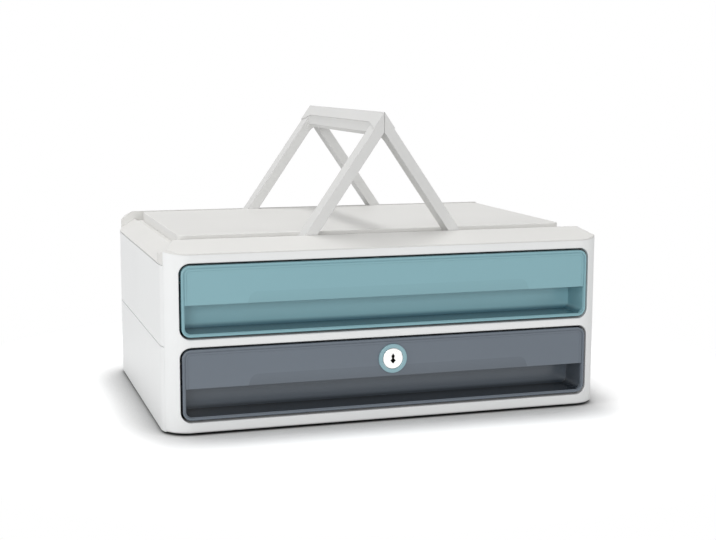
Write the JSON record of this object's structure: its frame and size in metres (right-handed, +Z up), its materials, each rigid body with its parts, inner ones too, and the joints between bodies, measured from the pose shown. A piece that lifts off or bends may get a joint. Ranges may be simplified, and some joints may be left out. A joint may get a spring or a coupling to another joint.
{
  "type": "file box with drawers",
  "caption": "Desktop file box with stacked pull-out drawers, a cam lock on the lower one, and folding carrying handles hinged in grooves of the top cover.",
  "frame": {"origin": "middle of the footprint, on the surface that the feet stand on", "axes": "+X to the right seen from the front, +Y from the front to the back, +Z up; drawers pull out towards -Y"},
  "size_m": [0.386, 0.275, 0.2584],
  "materials": {
    "body_white": "fine satin moulded plastic, white",
    "cover_white": "fine matt moulded plastic, warm light grey",
    "handle_white": "satin moulded plastic, off-white",
    "front_teal": "tinted, nearly opaque gloss plastic, teal",
    "front_slate": "tinted, nearly opaque gloss plastic, slate grey",
    "tray_teal": "satin plastic, teal",
    "tray_slate": "satin plastic, slate grey",
    "runner_plastic": "slippery acetal-like plastic, white",
    "foot_rubber": "soft rubber, dark grey",
    "ring_teal": "gloss plastic, teal",
    "lock_chrome": "bright nickel plate",
    "zinc": "zinc-plated steel"
  },
  "bodies": {
    "root": {"rubber_feet": "foot_rubber", "front_frame": "body_white", "lower_casing": "body_white", "upper_casing": "body_white", "casing_screws": "zinc", "top_cover": "cover_white", "cover_screws": "zinc", "left_handle_pins": "zinc", "right_handle_pins": "zinc", "upper_left_runner": "runner_plastic", "upper_right_runner": "runner_plastic", "lower_left_runner": "runner_plastic", "lower_right_runner": "runner_plastic", "runner_screws": "zinc", "lock_keeper": "zinc", "keeper_screws": "zinc"},
    "upper_drawer": {"upper_drawer_tray": "tray_teal", "upper_drawer_front": "front_teal", "upper_front_screws": "zinc"},
    "lower_drawer": {"lower_drawer_tray": "tray_slate", "lower_drawer_front": "front_slate", "lower_front_screws": "zinc", "lock_ring": "ring_teal", "lock_housing": "zinc", "lock_nut": "zinc"},
    "lock_cylinder": {"lock_plug": "lock_chrome", "lock_cam": "zinc", "cam_screw": "zinc"},
    "left_handle": {"left_handle": "handle_white"},
    "right_handle": {"right_handle": "handle_white"}
  },
  "joints": [
    {"name": "upper_drawer_slide", "type": "slide", "parent": "root", "child": "upper_drawer", "axis": [0, -1, 0], "range_m": [0, 0.18]},
    {"name": "lower_drawer_slide", "type": "slide", "parent": "root", "child": "lower_drawer", "axis": [0, -1, 0], "range_m": [0, 0.18]},
    {"name": "lock_turn", "type": "hinge", "parent": "lower_drawer", "child": "lock_cylinder", "pos_m": [0, -0.1325, 0.0534], "axis": [0, -1, 0], "range_deg": [0, 90]},
    {"name": "left_handle_fold", "type": "hinge", "parent": "root", "child": "left_handle", "pos_m": [-0.0669, 0, 0.1526], "axis": [0, -1, 0], "range_deg": [0, 123]},
    {"name": "right_handle_fold", "type": "hinge", "parent": "root", "child": "right_handle", "pos_m": [0.0669, 0, 0.1526], "axis": [0, 1, 0], "range_deg": [0, 123]}
  ]
}
